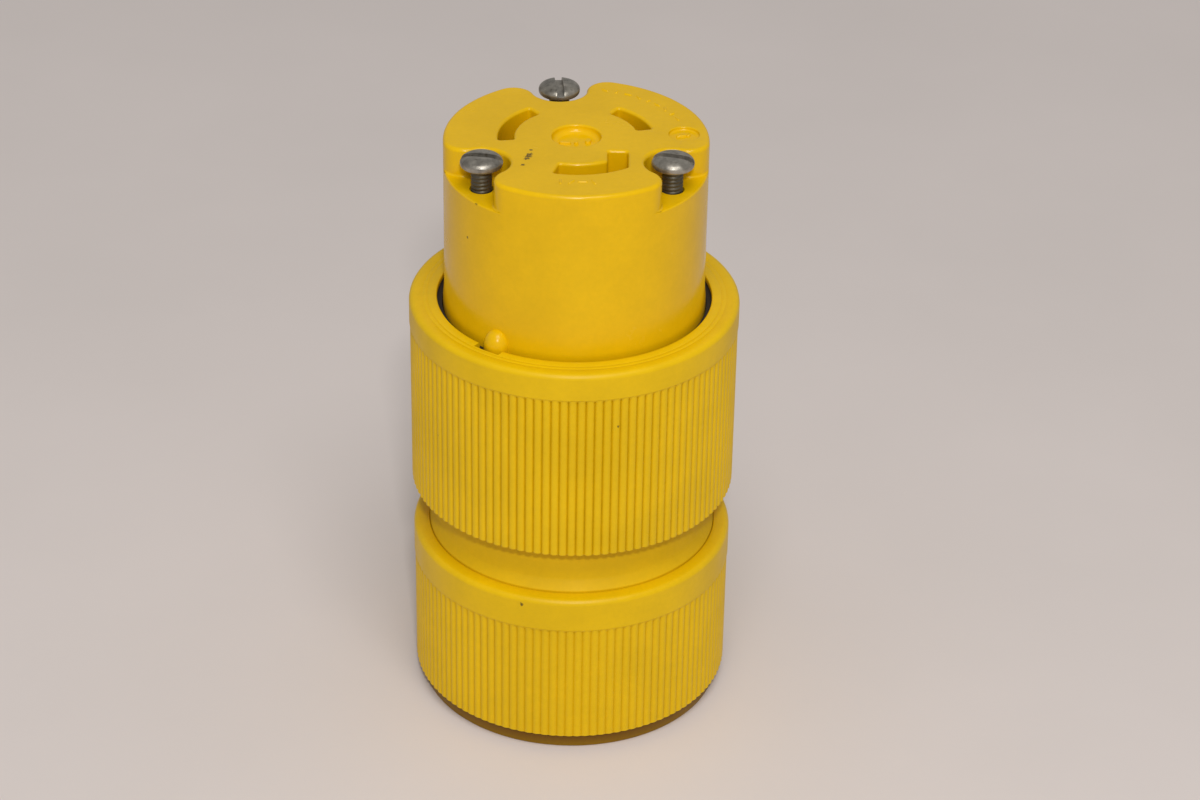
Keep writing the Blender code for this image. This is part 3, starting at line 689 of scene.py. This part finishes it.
def add_face_and_rim(shell):
    """The face's edge, the pockets and the rim. Returns the face's ring, the rim's last ring and
    the full circle that it follows."""
    outline, pocket = body_outline()
    rings = [
        shell.ring(offset(outline, -FACE_FILLET * inwards), FACE_Z - FACE_FILLET * down)
        for inwards, down in quarter(6)
    ]
    for upper, lower in zip(rings, rings[1:]):
        shell.wall(lower, upper)
    # The wall down to the pockets' floor, with a soft foot in each pocket.
    previous = shell.ring(outline, NOTCH_FLOOR_Z + POCKET_FOOT)
    shell.wall(previous, rings[-1])
    for inwards, down in quarter(4)[1:]:
        moved = offset(outline, POCKET_FOOT * down)
        bent = [
            spread if at >= 0 and math.hypot(*spread) < FACE_R else plain
            for spread, plain, at in zip(moved, outline, pocket)
        ]
        ring = shell.ring(bent, NOTCH_FLOOR_Z + POCKET_FOOT * inwards)
        shell.wall(ring, previous)
        previous = ring
    floor_line = previous
    # The rim under the pockets: the same points, brought back out to the full circle.
    circle = rim_circle(outline, pocket)
    gaps = [math.dist(full, point) for full, point in zip(circle, outline)]
    soft = [min(POCKET_EDGE, 0.35 * gap) for gap in gaps]
    edge_rings = []
    for inwards, down in quarter(3):
        shares = [(FACE_R - edge * inwards) / FACE_R for edge in soft]
        spots = [(x * share, y * share) for (x, y), share in zip(circle, shares)]
        heights = [NOTCH_FLOOR_Z - edge * down for edge in soft]
        edge_rings.append(shell.ring(spots, heights))
    for upper, lower in zip(edge_rings, edge_rings[1:]):
        shell.wall(lower, upper)
    add_pocket_floors(shell, pocket, floor_line, edge_rings[0])
    return rings[0], edge_rings[-1], circle


def add_outer_wall(shell, top, circle):
    """The wall down to the flange's foot, widened a little where it enters the sleeve."""
    swell = 0.3 * MM
    profile = [
        (FACE_R, 100.0 * MM),
        (FACE_R, 94.0 * MM),
        (FACE_R + 0.1 * swell, 92.5 * MM),
        (FACE_R + swell / 3, 91.3 * MM),
        (FACE_R + 2 * swell / 3, 90.3 * MM),
        (FACE_R + swell, 89.4 * MM),
        (FACE_R + swell, 86.0 * MM),
        (FACE_R, 84.0 * MM),
        (FACE_R, FLANGE_TOP_Z + FLANGE_FOOT),
        (FACE_R + FLANGE_FOOT, FLANGE_TOP_Z),
        (FLANGE_R - FLANGE_EDGE, FLANGE_TOP_Z),
        (FLANGE_R, FLANGE_TOP_Z - FLANGE_EDGE),
        (FLANGE_R, FLANGE_BOTTOM_Z),
    ]
    for radius, height in profile:
        share = radius / FACE_R
        ring = shell.ring([(x * share, y * share) for x, y in circle], height)
        shell.wall(ring, top)
        top = ring
    return top


def add_cavity(shell, flange_foot):
    """The bore behind the face, wider at its top. Returns the ring under the face."""
    around = 240
    bore_low = shell.ring(lobed_circle(CAVITY_R, SHANK_HOLE_R, around), FLANGE_BOTTOM_Z)
    bore_high = shell.ring(lobed_circle(CAVITY_R, SHANK_HOLE_R, around), CHAMBER_Z)
    shell.cap(flange_foot, [bore_low], up=False)
    shell.wall(bore_high, bore_low)
    chamber_low = shell.ring(lobed_circle(CAVITY_R, CHAMBER_R, around), CHAMBER_Z)
    chamber_high = shell.ring(lobed_circle(CAVITY_R, CHAMBER_R, around), FACE_UNDERSIDE_Z)
    shell.wall(bore_high, chamber_low)
    shell.wall(chamber_high, chamber_low)
    return chamber_high


def add_slots(shell):
    """The slots, cut through the face. Returns their rings above and below."""
    above = []
    below = []
    for slot in slot_outlines():
        rings = [
            shell.ring(offset(slot, SLOT_EDGE * inwards), FACE_Z - SLOT_EDGE * down)
            for inwards, down in quarter(5)
        ]
        rings.append(shell.ring(slot, FACE_UNDERSIDE_Z))
        for high, low in zip(rings, rings[1:]):
            shell.wall(high, low)
        above.append(rings[0])
        below.append(rings[-1])
    return above, below


def make_front_body(finish):
    """The front body: the face with its slots, recesses and pockets, the flange and the cavity."""
    shell = Shell()
    face, rim, circle = add_face_and_rim(shell)
    flange_foot = add_outer_wall(shell, rim, circle)
    chamber = add_cavity(shell, flange_foot)
    above, below = add_slots(shell)
    centre = circle_about((0, 0), CENTRE_RECESS_R, 96)
    above.append(sunk_ring(shell, centre, FACE_Z, CENTRE_RECESS_DEPTH, 0.4 * MM, 1.1 * MM))
    lobe = circle_about(LOBE_RECESS_CENTRE, LOBE_RECESS_R, 64)
    above.append(sunk_ring(shell, lobe, FACE_Z, LOBE_RECESS_DEPTH, 0.25 * MM, 0.4 * MM))
    shell.cap(face, above)
    for angle in SCREW_ANGLES.values():
        hole = circle_about(polar(SCREW_CIRCLE_R, angle), SHANK_HOLE_R, 48)
        below.append(shell.ring(hole, FACE_UNDERSIDE_Z))
    shell.cap(chamber, below, up=False)
    piece(
        "front_body_moulding",
        shell.points,
        shell.faces,
        finish,
        "housing",
        "front_body",
    )


def make_key_boss(finish):
    """The egg-shaped locating key on the body's side."""
    profile = [(AXIS_R, KEY_TOP_Z)]
    steps = 16
    for k in range(1, steps + 1):
        angle = math.radians(90.0 - 90.0 * k / steps)
        height = KEY_TOP_Z - KEY_CROWN + KEY_CROWN * math.sin(angle)
        profile.append((KEY_R * math.cos(angle), height))
    profile += [
        (KEY_R, KEY_BOTTOM_Z + KEY_EDGE),
        (KEY_R - KEY_EDGE, KEY_BOTTOM_Z),
        (AXIS_R, KEY_BOTTOM_Z),
    ]
    points, faces = lathe(profile, 64, closed=False)
    x, y = polar(FACE_R, KEY_ANGLE)
    points = [(px + x, py + y, pz) for px, py, pz in points]
    piece("key_boss", points, faces, finish, "housing")


def raised_mark(name, centre_mm, size_mm, height_mm, turn, base, finish):
    """A small moulded mark: a rounded bar or dot that stands up from the height base, in metres."""
    x, y = (value * MM for value in centre_mm)
    length, width = (value * MM for value in size_mm)
    height = height_mm * MM
    half = max(length - width, 0.0) / 2
    shape = arc((half, 0), width / 2, -90, 90, 10)
    shape += arc((-half, 0), width / 2, 90, 270, 10)
    shape = [(px + x, py + y) for px, py in turned_by(shape, turn)]
    shell = Shell()
    foot = shell.ring(offset(shape, 0.12 * MM), base - 0.05 * MM)
    low = shell.ring(shape, base + 0.6 * height)
    high = shell.ring(offset(shape, -0.1 * MM), base + height)
    shell.wall(foot, low)
    shell.wall(low, high)
    shell.cap(high)
    piece(name, shell.points, shell.faces, finish, "housing", crease=60.0)


def make_face_marks(finish):
    """Generic raised marks where such a body has its mould marks. None of them is a letter."""
    floor = FACE_Z - CENTRE_RECESS_DEPTH
    raised_mark("centre_mark_bar", (-2.2, -0.4), (2.2, 0.5), 0.5, 0, floor, finish)
    raised_mark("centre_mark_dot_a", (0.0, -0.4), (0.8, 0.8), 0.5, 0, floor, finish)
    raised_mark("centre_mark_dot_b", (2.3, 0.4), (1.7, 1.1), 0.5, 80, floor, finish)
    floor = FACE_Z - LOBE_RECESS_DEPTH
    x, y = (value / MM for value in LOBE_RECESS_CENTRE)
    raised_mark("lobe_mark_bar", (x - 0.5, y), (2.0, 0.5), 0.4, 12, floor, finish)
    raised_mark("lobe_mark_dot", (x + 0.9, y + 0.4), (0.9, 0.6), 0.4, 60, floor, finish)
    for k in range(9):
        angle = 22.0 + 6.6 * k
        size = ((1.5, 1.1, 1.6)[k % 3], 0.4)
        turn = angle + (90.0, 0.0, 60.0)[k % 3]
        raised_mark(f"rim_mark_{k + 1}", polar(21.4, angle), size, 0.22, turn, FACE_Z, finish)
    for k, turn in enumerate((90.0, 55.0, 0.0, 115.0)):
        centre = (-2.9 + 2.1 * k, -19.7)
        raised_mark(f"front_mark_{k + 1}", centre, (1.8, 0.4), 0.2, turn, FACE_Z, finish)


# ---------------------------------------------------------------- sleeve, nut and housing


class Ribbing(NamedTuple):
    """Where a ribbed piece's grooves run, in millimetres."""

    crest_r: float
    depth: float
    top: float
    full_from: float
    full_to: float
    end: float
    smallest_r: float


def groove_depth(r, z, ribbing):
    """How deep the grooves are at a point of a ribbed profile, in metres."""
    r, z = r / MM, z / MM
    if r < ribbing.smallest_r or z > ribbing.top or z < ribbing.end:
        return 0.0
    share = 1.0
    if z > ribbing.full_from:
        share = (ribbing.top - z) / (ribbing.top - ribbing.full_from)
    if z < ribbing.full_to:
        share = min(share, (z - ribbing.end) / (ribbing.full_to - ribbing.end))
    return ribbing.depth * MM * share


def ribbed_rows(corners, ribbing):
    """A ribbed piece's profile and its grooves' depths, with more points where they dip in."""
    profile = rounded_profile(corners, segments=4)
    depths = [groove_depth(r, z, ribbing) for r, z in profile]
    heights = [ribbing.top - drop for drop in (0.0, 0.15, 0.35, 0.5)]
    at = next(
        i
        for i, ((r, z), (_, z_below)) in enumerate(zip(profile, profile[1:]))
        if r > (ribbing.crest_r - 0.01) * MM
        and z >= heights[0] * MM
        and z_below < heights[-1] * MM
    )
    extra = [(ribbing.crest_r * MM, z * MM) for z in heights]
    run = ribbing.top - ribbing.full_from
    shares = [math.sin(math.pi / 2 * (ribbing.top - z) / run) for z in heights]
    added = [ribbing.depth * MM * share for share in shares]
    profile = profile[: at + 1] + extra + profile[at + 1 :]
    depths = depths[: at + 1] + added + depths[at + 1 :]
    return profile, depths


def make_sleeve(finish):
    """The ribbed sleeve: a plain band at its top, grooves to its bottom edge."""
    corners = [
        (27.5, 89.5, 0.3),
        (29.3, 89.5, 0.0),
        (29.42, 89.44, 0.0),
        (29.54, 89.5, 0.0),
        (30.3, 89.5, 0.0),
        (30.42, 89.44, 0.0),
        (30.54, 89.5, 0.0),
        (33.1, 89.5, 1.1),
        (33.1, 83.95, 0.1),
        (32.95, 83.8, 0.05),
        (32.95, 48.1, 0.25),
        (32.5, 47.9, 0.1),
        (28.4, 47.9, 0.1),
        (28.1, 48.2, 0.1),
        (28.1, 51.8, 0.2),
        (30.1, 52.6, 0.2),
        (30.1, 88.3, 0.0),
        (27.5, 88.3, 0.1),
    ]
    ribbing = Ribbing(
        crest_r=32.95, depth=0.5, top=83.7, full_from=83.2, full_to=47.0, end=46.0, smallest_r=31.2
    )
    profile, depths = ribbed_rows(corners, ribbing)
    keyway = (KEYWAY_ANGLE, KEYWAY_HALF_ANGLE, KEYWAY_R)
    points, faces = lathe(
        profile, RIBS * POINTS_PER_RIB, depths, rib_groove(2.8), keyway=keyway
    )
    piece("ribbed_sleeve", points, faces, finish, "sleeve", "coupling_sleeve")


def make_nut(finish):
    """The cord nut: a plain band with a round lip, softer grooves and a drawn-in foot."""
    corners = [
        (29.5, 37.0, 0.2),
        (32.74, 37.0, 1.2),
        (32.74, 29.95, 0.1),
        (32.6, 29.8, 0.05),
        (32.6, 3.5, 0.15),
        (31.1, 3.5, 0.15),
        (31.1, 0.0, 0.25),
        (15.0, 0.0, 0.5),
        (15.0, 5.3, 0.4),
        (25.3, 5.3, 0.2),
        (25.3, 9.6, 0.2),
        (29.5, 9.6, 0.2),
    ]
    ribbing = Ribbing(
        crest_r=32.6, depth=0.4, top=29.7, full_from=29.2, full_to=3.6, end=3.4, smallest_r=31.4
    )
    profile, depths = ribbed_rows(corners, ribbing)
    points, faces = lathe(profile, RIBS * POINTS_PER_RIB, depths, rib_groove(2.0))
    piece("ribbed_cord_nut", points, faces, finish, "nut", "cord_nut")


def make_housing(finish):
    """The rear housing: neck, flare over the nut's lip, and the tail inside the nut."""
    corners = [
        (27.8, 72.0, 0.3),
        (27.8, 60.4, 0.3),
        (29.4, 60.0, 0.3),
        (29.4, 52.2, 0.4),
        (27.5, 51.9, 0.3),
        (27.5, 43.6, 4.0),
        (28.2, 39.4, 2.0),
        (29.42, 37.3, 0.2),
        (29.42, 34.0, 0.2),
        (28.9, 33.6, 0.1),
        (28.9, 14.2, 0.5),
        (24.2, 14.2, 0.3),
        (20.2, 30.5, 0.3),
        (16.5, 30.5, 0.3),
        (16.5, 34.0, 0.5),
        (22.8, 38.0, 0.8),
        (22.8, 57.4, 0.0),
        (22.8, 57.6, 0.0),
        (22.8, 72.0, 0.3),
    ]
    shell = Shell()
    points, shell.faces = lathe(rounded_profile(corners, segments=6), NECK_STEPS)
    # The neck's bore, opened round each screw so that the shank passes.
    bore = [math.hypot(x, y) for x, y in lobed_circle(NECK_BORE_R, LOBE_R, NECK_STEPS)]
    for i, (x, y, z) in enumerate(points):
        radius = math.hypot(x, y)
        share = bore[i % NECK_STEPS] / radius
        if z > LOBE_FOOT_Z and share > 1.0 and radius < NECK_BORE_R + 0.4 * MM:
            points[i] = (x * share, y * share, z)
    shell.points = points
    for angle in SCREW_ANGLES.values():
        middle = polar(SCREW_CIRCLE_R, angle)
        outer = circle_about(middle, BOSS_OUTER_R, 64)
        inner = circle_about(middle, BOSS_INNER_R, 64)
        foot_outer = shell.ring(outer, BOSS_FOOT_Z)
        top_outer = shell.ring(outer, NECK_TOP_Z)
        foot_inner = shell.ring(inner, BOSS_FOOT_Z)
        top_inner = shell.ring(inner, NECK_TOP_Z)
        shell.wall(foot_outer, top_outer)
        shell.wall(top_inner, foot_inner)
        shell.wall(top_outer, top_inner)
        shell.wall(foot_inner, foot_outer)
    piece(
        "rear_housing_moulding",
        shell.points,
        shell.faces,
        finish,
        "housing",
        "rear_housing",
    )


def make_turned(name, corners, steps, finish, body, node):
    """A plain turned piece with soft edges that stands for one CAD node."""
    points, faces = lathe(rounded_profile(corners), steps)
    piece(name, points, faces, finish, body, node)


# ---------------------------------------------------------------- screws


def head_profile():
    """Half of a pan head, from the middle of its dome to the middle of its underside."""
    profile = [(AXIS_R, HEAD_TOP_Z)]
    steps = 14
    for k in range(1, steps + 1):
        angle = math.radians(90.0 - 90.0 * k / steps)
        radius = HEAD_R * math.cos(angle) ** HEAD_ROUNDNESS
        height = HEAD_DOME_Z + (HEAD_TOP_Z - HEAD_DOME_Z) * math.sin(angle)
        profile.append((radius, height))
    rounded_underside = [(4.13, 123.9), (4.03, 123.66), (3.82, 123.48)]
    profile += [(r * MM, z * MM) for r, z in rounded_underside]
    flat_underside = [3.5 * MM, 2.2 * MM, AXIS_R]
    return profile + [(r, HEAD_UNDERSIDE_Z) for r in flat_underside]


def slotted_head():
    """Points and faces of the head, with its driver slot cut along X and its edges worn."""
    mesh = bpy.data.meshes.new("head_blank")
    points, faces = lathe(head_profile(), 72, closed=False)
    mesh.from_pydata(points, [], faces)
    head = linked("head_blank", mesh)
    weld = head.modifiers.new("weld", "WELD")
    weld.merge_threshold = 0.03 * MM
    cutter = slot_cutter()
    cut = head.modifiers.new("slot", "BOOLEAN")
    cut.object = cutter
    bevel = head.modifiers.new("worn_edges", "BEVEL")
    bevel.width = 0.09 * MM
    bevel.segments = 2
    bevel.limit_method = "ANGLE"
    bevel.angle_limit = math.radians(38)
    graph = bpy.context.evaluated_depsgraph_get()
    made = bpy.data.meshes.new_from_object(head.evaluated_get(graph))
    points = [tuple(vertex.co) for vertex in made.vertices]
    faces = [tuple(face.vertices) for face in made.polygons]
    for helper in (head, cutter):
        bpy.data.objects.remove(helper)
    return points, faces


def slot_cutter():
    """A bar along X that cuts the driver slot."""
    end = 6 * MM
    half = DRIVER_SLOT_HALF_WIDTH
    outline = [(-end, -half), (end, -half), (end, half), (-end, half)]
    shell = Shell()
    foot = shell.ring(outline, DRIVER_SLOT_Z)
    top = shell.ring(outline, HEAD_TOP_Z + 1.3 * MM)
    shell.wall(foot, top)
    shell.cap(top)
    shell.cap(foot, up=False)
    mesh = bpy.data.meshes.new("slot_cutter")
    mesh.from_pydata(shell.points, [], shell.faces)
    return linked("slot_cutter", mesh)


def threaded_shank(top):
    """A right-hand thread, down to a plain tip."""
    steps = 32
    rise = THREAD_PITCH / ROWS_PER_THREAD
    rows = int((top - THREAD_END_Z) / rise)
    points = []
    for row in range(rows + 1):
        z = top - row * rise
        for column in range(steps):
            angle = math.tau * column / steps
            phase = (z / THREAD_PITCH - column / steps) % 1.0
            radius = SHANK_R - THREAD_DEPTH * abs(2 * phase - 1) ** 1.2
            points.append((radius * math.cos(angle), radius * math.sin(angle), z))
    points += [(x, y, TIP_Z) for x, y in circle_about((0, 0), TIP_R, steps)]
    faces = []
    for row in range(rows + 1):
        for column in range(steps):
            after = (column + 1) % steps
            above = row * steps
            below = above + steps
            faces.append((below + column, below + after, above + after, above + column))
    tip = (rows + 1) * steps
    faces.append(tuple(tip + column for column in reversed(range(steps))))
    return points, faces


def make_screw(side, finish):
    """A slotted pan head on a threaded shank, backed out of its hole."""
    points, faces = slotted_head()
    start = len(points)
    shank, sides = threaded_shank(HEAD_UNDERSIDE_Z)
    points += shank
    faces += [tuple(i + start for i in face) for face in sides]
    turn = Matrix.Rotation(math.radians(SCREW_SLOT_ANGLES[side]), 3, "Z")
    place = Vector((*polar(SCREW_CIRCLE_R, SCREW_ANGLES[side]), 0.0))
    piece(
        f"{side}_pan_screw",
        [tuple(turn @ Vector(point) + place) for point in points],
        faces,
        finish,
        f"{side}_screw",
        f"{side}_assembly_screw",
        crease=40.0,
    )


# ---------------------------------------------------------------- studio


def make_floor():
    """A plain floor of pale paper."""
    half = FLOOR_SIZE / 2
    mesh = bpy.data.meshes.new("studio_floor")
    corners = [(-half, -half, 0.0), (half, -half, 0.0), (half, half, 0.0), (-half, half, 0.0)]
    mesh.from_pydata(corners, [], [(0, 1, 2, 3)])
    finish = Finish("pale_paper", Roughness=0.85)
    share = finish.span(finish.noise(9.0, 4.0, 0.55), 0.3, 0.7)
    colour = finish.mix(share, (0.69, 0.62, 0.585, 1.0), (0.725, 0.65, 0.615, 1.0))
    fibre = finish.bump(finish.noise(400.0, 3.0), 0.05, 0.3 * MM)
    mesh.materials.append(finish.use(Base_Color=colour, Normal=fibre))
    linked("studio_floor", mesh)


def make_light(name, place, size, power):
    """A rectangular light that faces the connector."""
    lamp = bpy.data.lights.new(name, "AREA")
    lamp.shape = "RECTANGLE"
    lamp.size, lamp.size_y = size
    lamp.energy = power
    thing = linked(name, lamp)
    thing.location = place
    facing = Vector(LIGHT_TARGET) - Vector(place)
    thing.rotation_euler = facing.to_track_quat("-Z", "Y").to_euler()


def make_studio():
    """The floor, an even white sky, a small key light and a large soft one above it."""
    make_floor()
    world = bpy.data.worlds.new("studio")
    world.use_nodes = True
    sky = world.node_tree.nodes["Background"]
    sky.inputs["Color"].default_value = (1.0, 1.0, 1.0, 1.0)
    sky.inputs["Strength"].default_value = SKY_STRENGTH
    bpy.context.scene.world = world
    make_light("key", (0.02, -0.63, 0.55), (0.05, 0.035), 2.05)
    make_light("softbox", (0.15, -0.9, 1.9), (1.0, 0.8), 17.0)


def make_camera():
    """The viewpoint: a little above the face, looking down at about 31 degrees."""
    flat = math.cos(CAMERA_PITCH)
    heading = (math.sin(CAMERA_YAW), math.cos(CAMERA_YAW))
    forward = Vector((heading[0] * flat, heading[1] * flat, -math.sin(CAMERA_PITCH)))
    right = Vector((heading[1], -heading[0], 0.0))
    up = right.cross(forward)
    side = math.cos(CAMERA_ROLL) * right + math.sin(CAMERA_ROLL) * up
    top = -math.sin(CAMERA_ROLL) * right + math.cos(CAMERA_ROLL) * up
    turn = Matrix((side, top, -forward)).transposed().to_4x4()
    lens = bpy.data.cameras.new("camera")
    lens.lens = FOCAL_LENGTH
    lens.sensor_width = 36.0
    lens.clip_start = 0.01
    camera = linked("camera", lens)
    camera.matrix_world = Matrix.Translation(CAMERA_PLACE) @ turn
    bpy.context.scene.camera = camera


# ---------------------------------------------------------------- assembly


def refinish(nodes, finish):
    """Gives CAD nodes that stay a finish of their own."""
    for name in nodes:
        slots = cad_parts[name].data.materials
        slots.clear()
        slots.append(finish)


def marks_at(*spots_mm):
    """Worn spots in metres, from each one's x, y, z and size in millimetres."""
    return [((x * MM, y * MM, z * MM), size * MM) for x, y, z, size in spots_mm]


make_camera()
make_studio()

face_mm = FACE_Z / MM
pocket_mm = NOTCH_FLOOR_Z / MM
body_plastic = yellow_plastic(
    "body_vinyl",
    marks=marks_at(
        (-8.7, -6.4, face_mm, 0.4),
        (-8.9, -8.3, face_mm, 0.65),
        (-9.2, -9.2, face_mm, 0.75),
        (-9.5, -10.2, face_mm, 0.6),
        (-10.2, -12.9, face_mm, 0.5),
        (-19.2, -17.9, pocket_mm, 0.5),
        (-17.6, -19.6, pocket_mm, 0.4),
        (-20.76, -15.65, 110.0, 0.3),
    ),
)
sleeve_plastic = yellow_plastic(
    "sleeve_vinyl",
    RIBBED_YELLOW,
    groove=(32.5 * MM, 32.8 * MM, 83.7 * MM, 0.35),
    marks=marks_at((8.81, -31.75, 77.5, 0.35)),
    roughness=(0.36, 0.48),
    specked=0.01,
)
nut_plastic = yellow_plastic(
    "nut_vinyl",
    RIBBED_YELLOW,
    groove=(32.22 * MM, 32.5 * MM, 29.7 * MM, 0.18),
    marks=marks_at((-9.84, -31.22, 35.3, 0.4)),
    roughness=(0.34, 0.46),
    foot=True,
    specked=0.01,
)
housing_plastic = yellow_plastic("housing_vinyl", RIBBED_YELLOW, roughness=(0.52, 0.66))
rubber = black_rubber("seal_rubber_finish")
steel = aged_steel("dulled_steel")
brass = metal("brass_finish", (0.78, 0.52, 0.20), (0.42, 0.26, 0.10))
nickel = metal("nickel_finish", (0.66, 0.63, 0.57), (0.40, 0.37, 0.32))
green = metal("green_plated_finish", (0.08, 0.30, 0.10), (0.05, 0.16, 0.06))
zinc = metal("zinc_finish", (0.55, 0.56, 0.56), (0.34, 0.34, 0.33))
phenolic = dull_solid(
    "phenolic_finish", (0.035, 0.020, 0.012), (0.07, 0.04, 0.02), (0.35, 0.55), 0.2
)
fibre = dull_solid("fibre_finish", (0.16, 0.035, 0.02), (0.26, 0.08, 0.05), (0.6, 0.8), 0.4)
nylon = dull_solid("nylon_finish", (0.62, 0.60, 0.53), (0.70, 0.68, 0.62), (0.3, 0.45), 0.15)

make_front_body(body_plastic)
make_key_boss(body_plastic)
make_face_marks(body_plastic)
make_sleeve(sleeve_plastic)
make_nut(nut_plastic)
make_housing(housing_plastic)
make_turned(
    "sleeve_liner",
    [
        (29.8, 88.0, 0.1),
        (29.8, 74.5, 0.1),
        (28.8, 74.5, 0.2),
        (28.8, 86.6, 0.3),
        (26.4, 87.2, 0.15),
        (26.4, 88.0, 0.15),
    ],
    240,
    rubber,
    "sleeve",
    "sleeve_seal",
)
make_turned(
    "nut_thrust_ring",
    [(24.8, 8.5, 0.2), (24.8, 5.6, 0.2), (11.0, 5.6, 0.5), (11.0, 8.5, 0.5)],
    192,
    nylon,
    "ring",
    "thrust_ring",
)
make_turned(
    "cord_grip",
    [(19.7, 30.0, 0.6), (23.7, 12.2, 0.6), (8.2, 12.2, 0.8), (8.2, 30.0, 0.8)],
    192,
    rubber,
    "housing",
    "cord_grommet",
)
for screw_side in SCREW_ANGLES:
    make_screw(screw_side, steel)
refinish(["contact_carrier"], phenolic)
refinish([f"{blade}_contact" for blade in BLADES], brass)
refinish([f"{side}_threaded_insert" for side in SCREW_ANGLES], brass)
refinish(["hot_terminal_screw"], brass)
refinish(["neutral_terminal_screw"], nickel)
refinish(["ground_terminal_screw"], green)
refinish([f"{blade}_clamp_plate" for blade in BLADES], zinc)
refinish([f"{side}_captive_washer" for side in SCREW_ANGLES], fibre)
refinish(["housing_gasket"], rubber)

bpy.context.scene.view_settings.view_transform = "Standard"
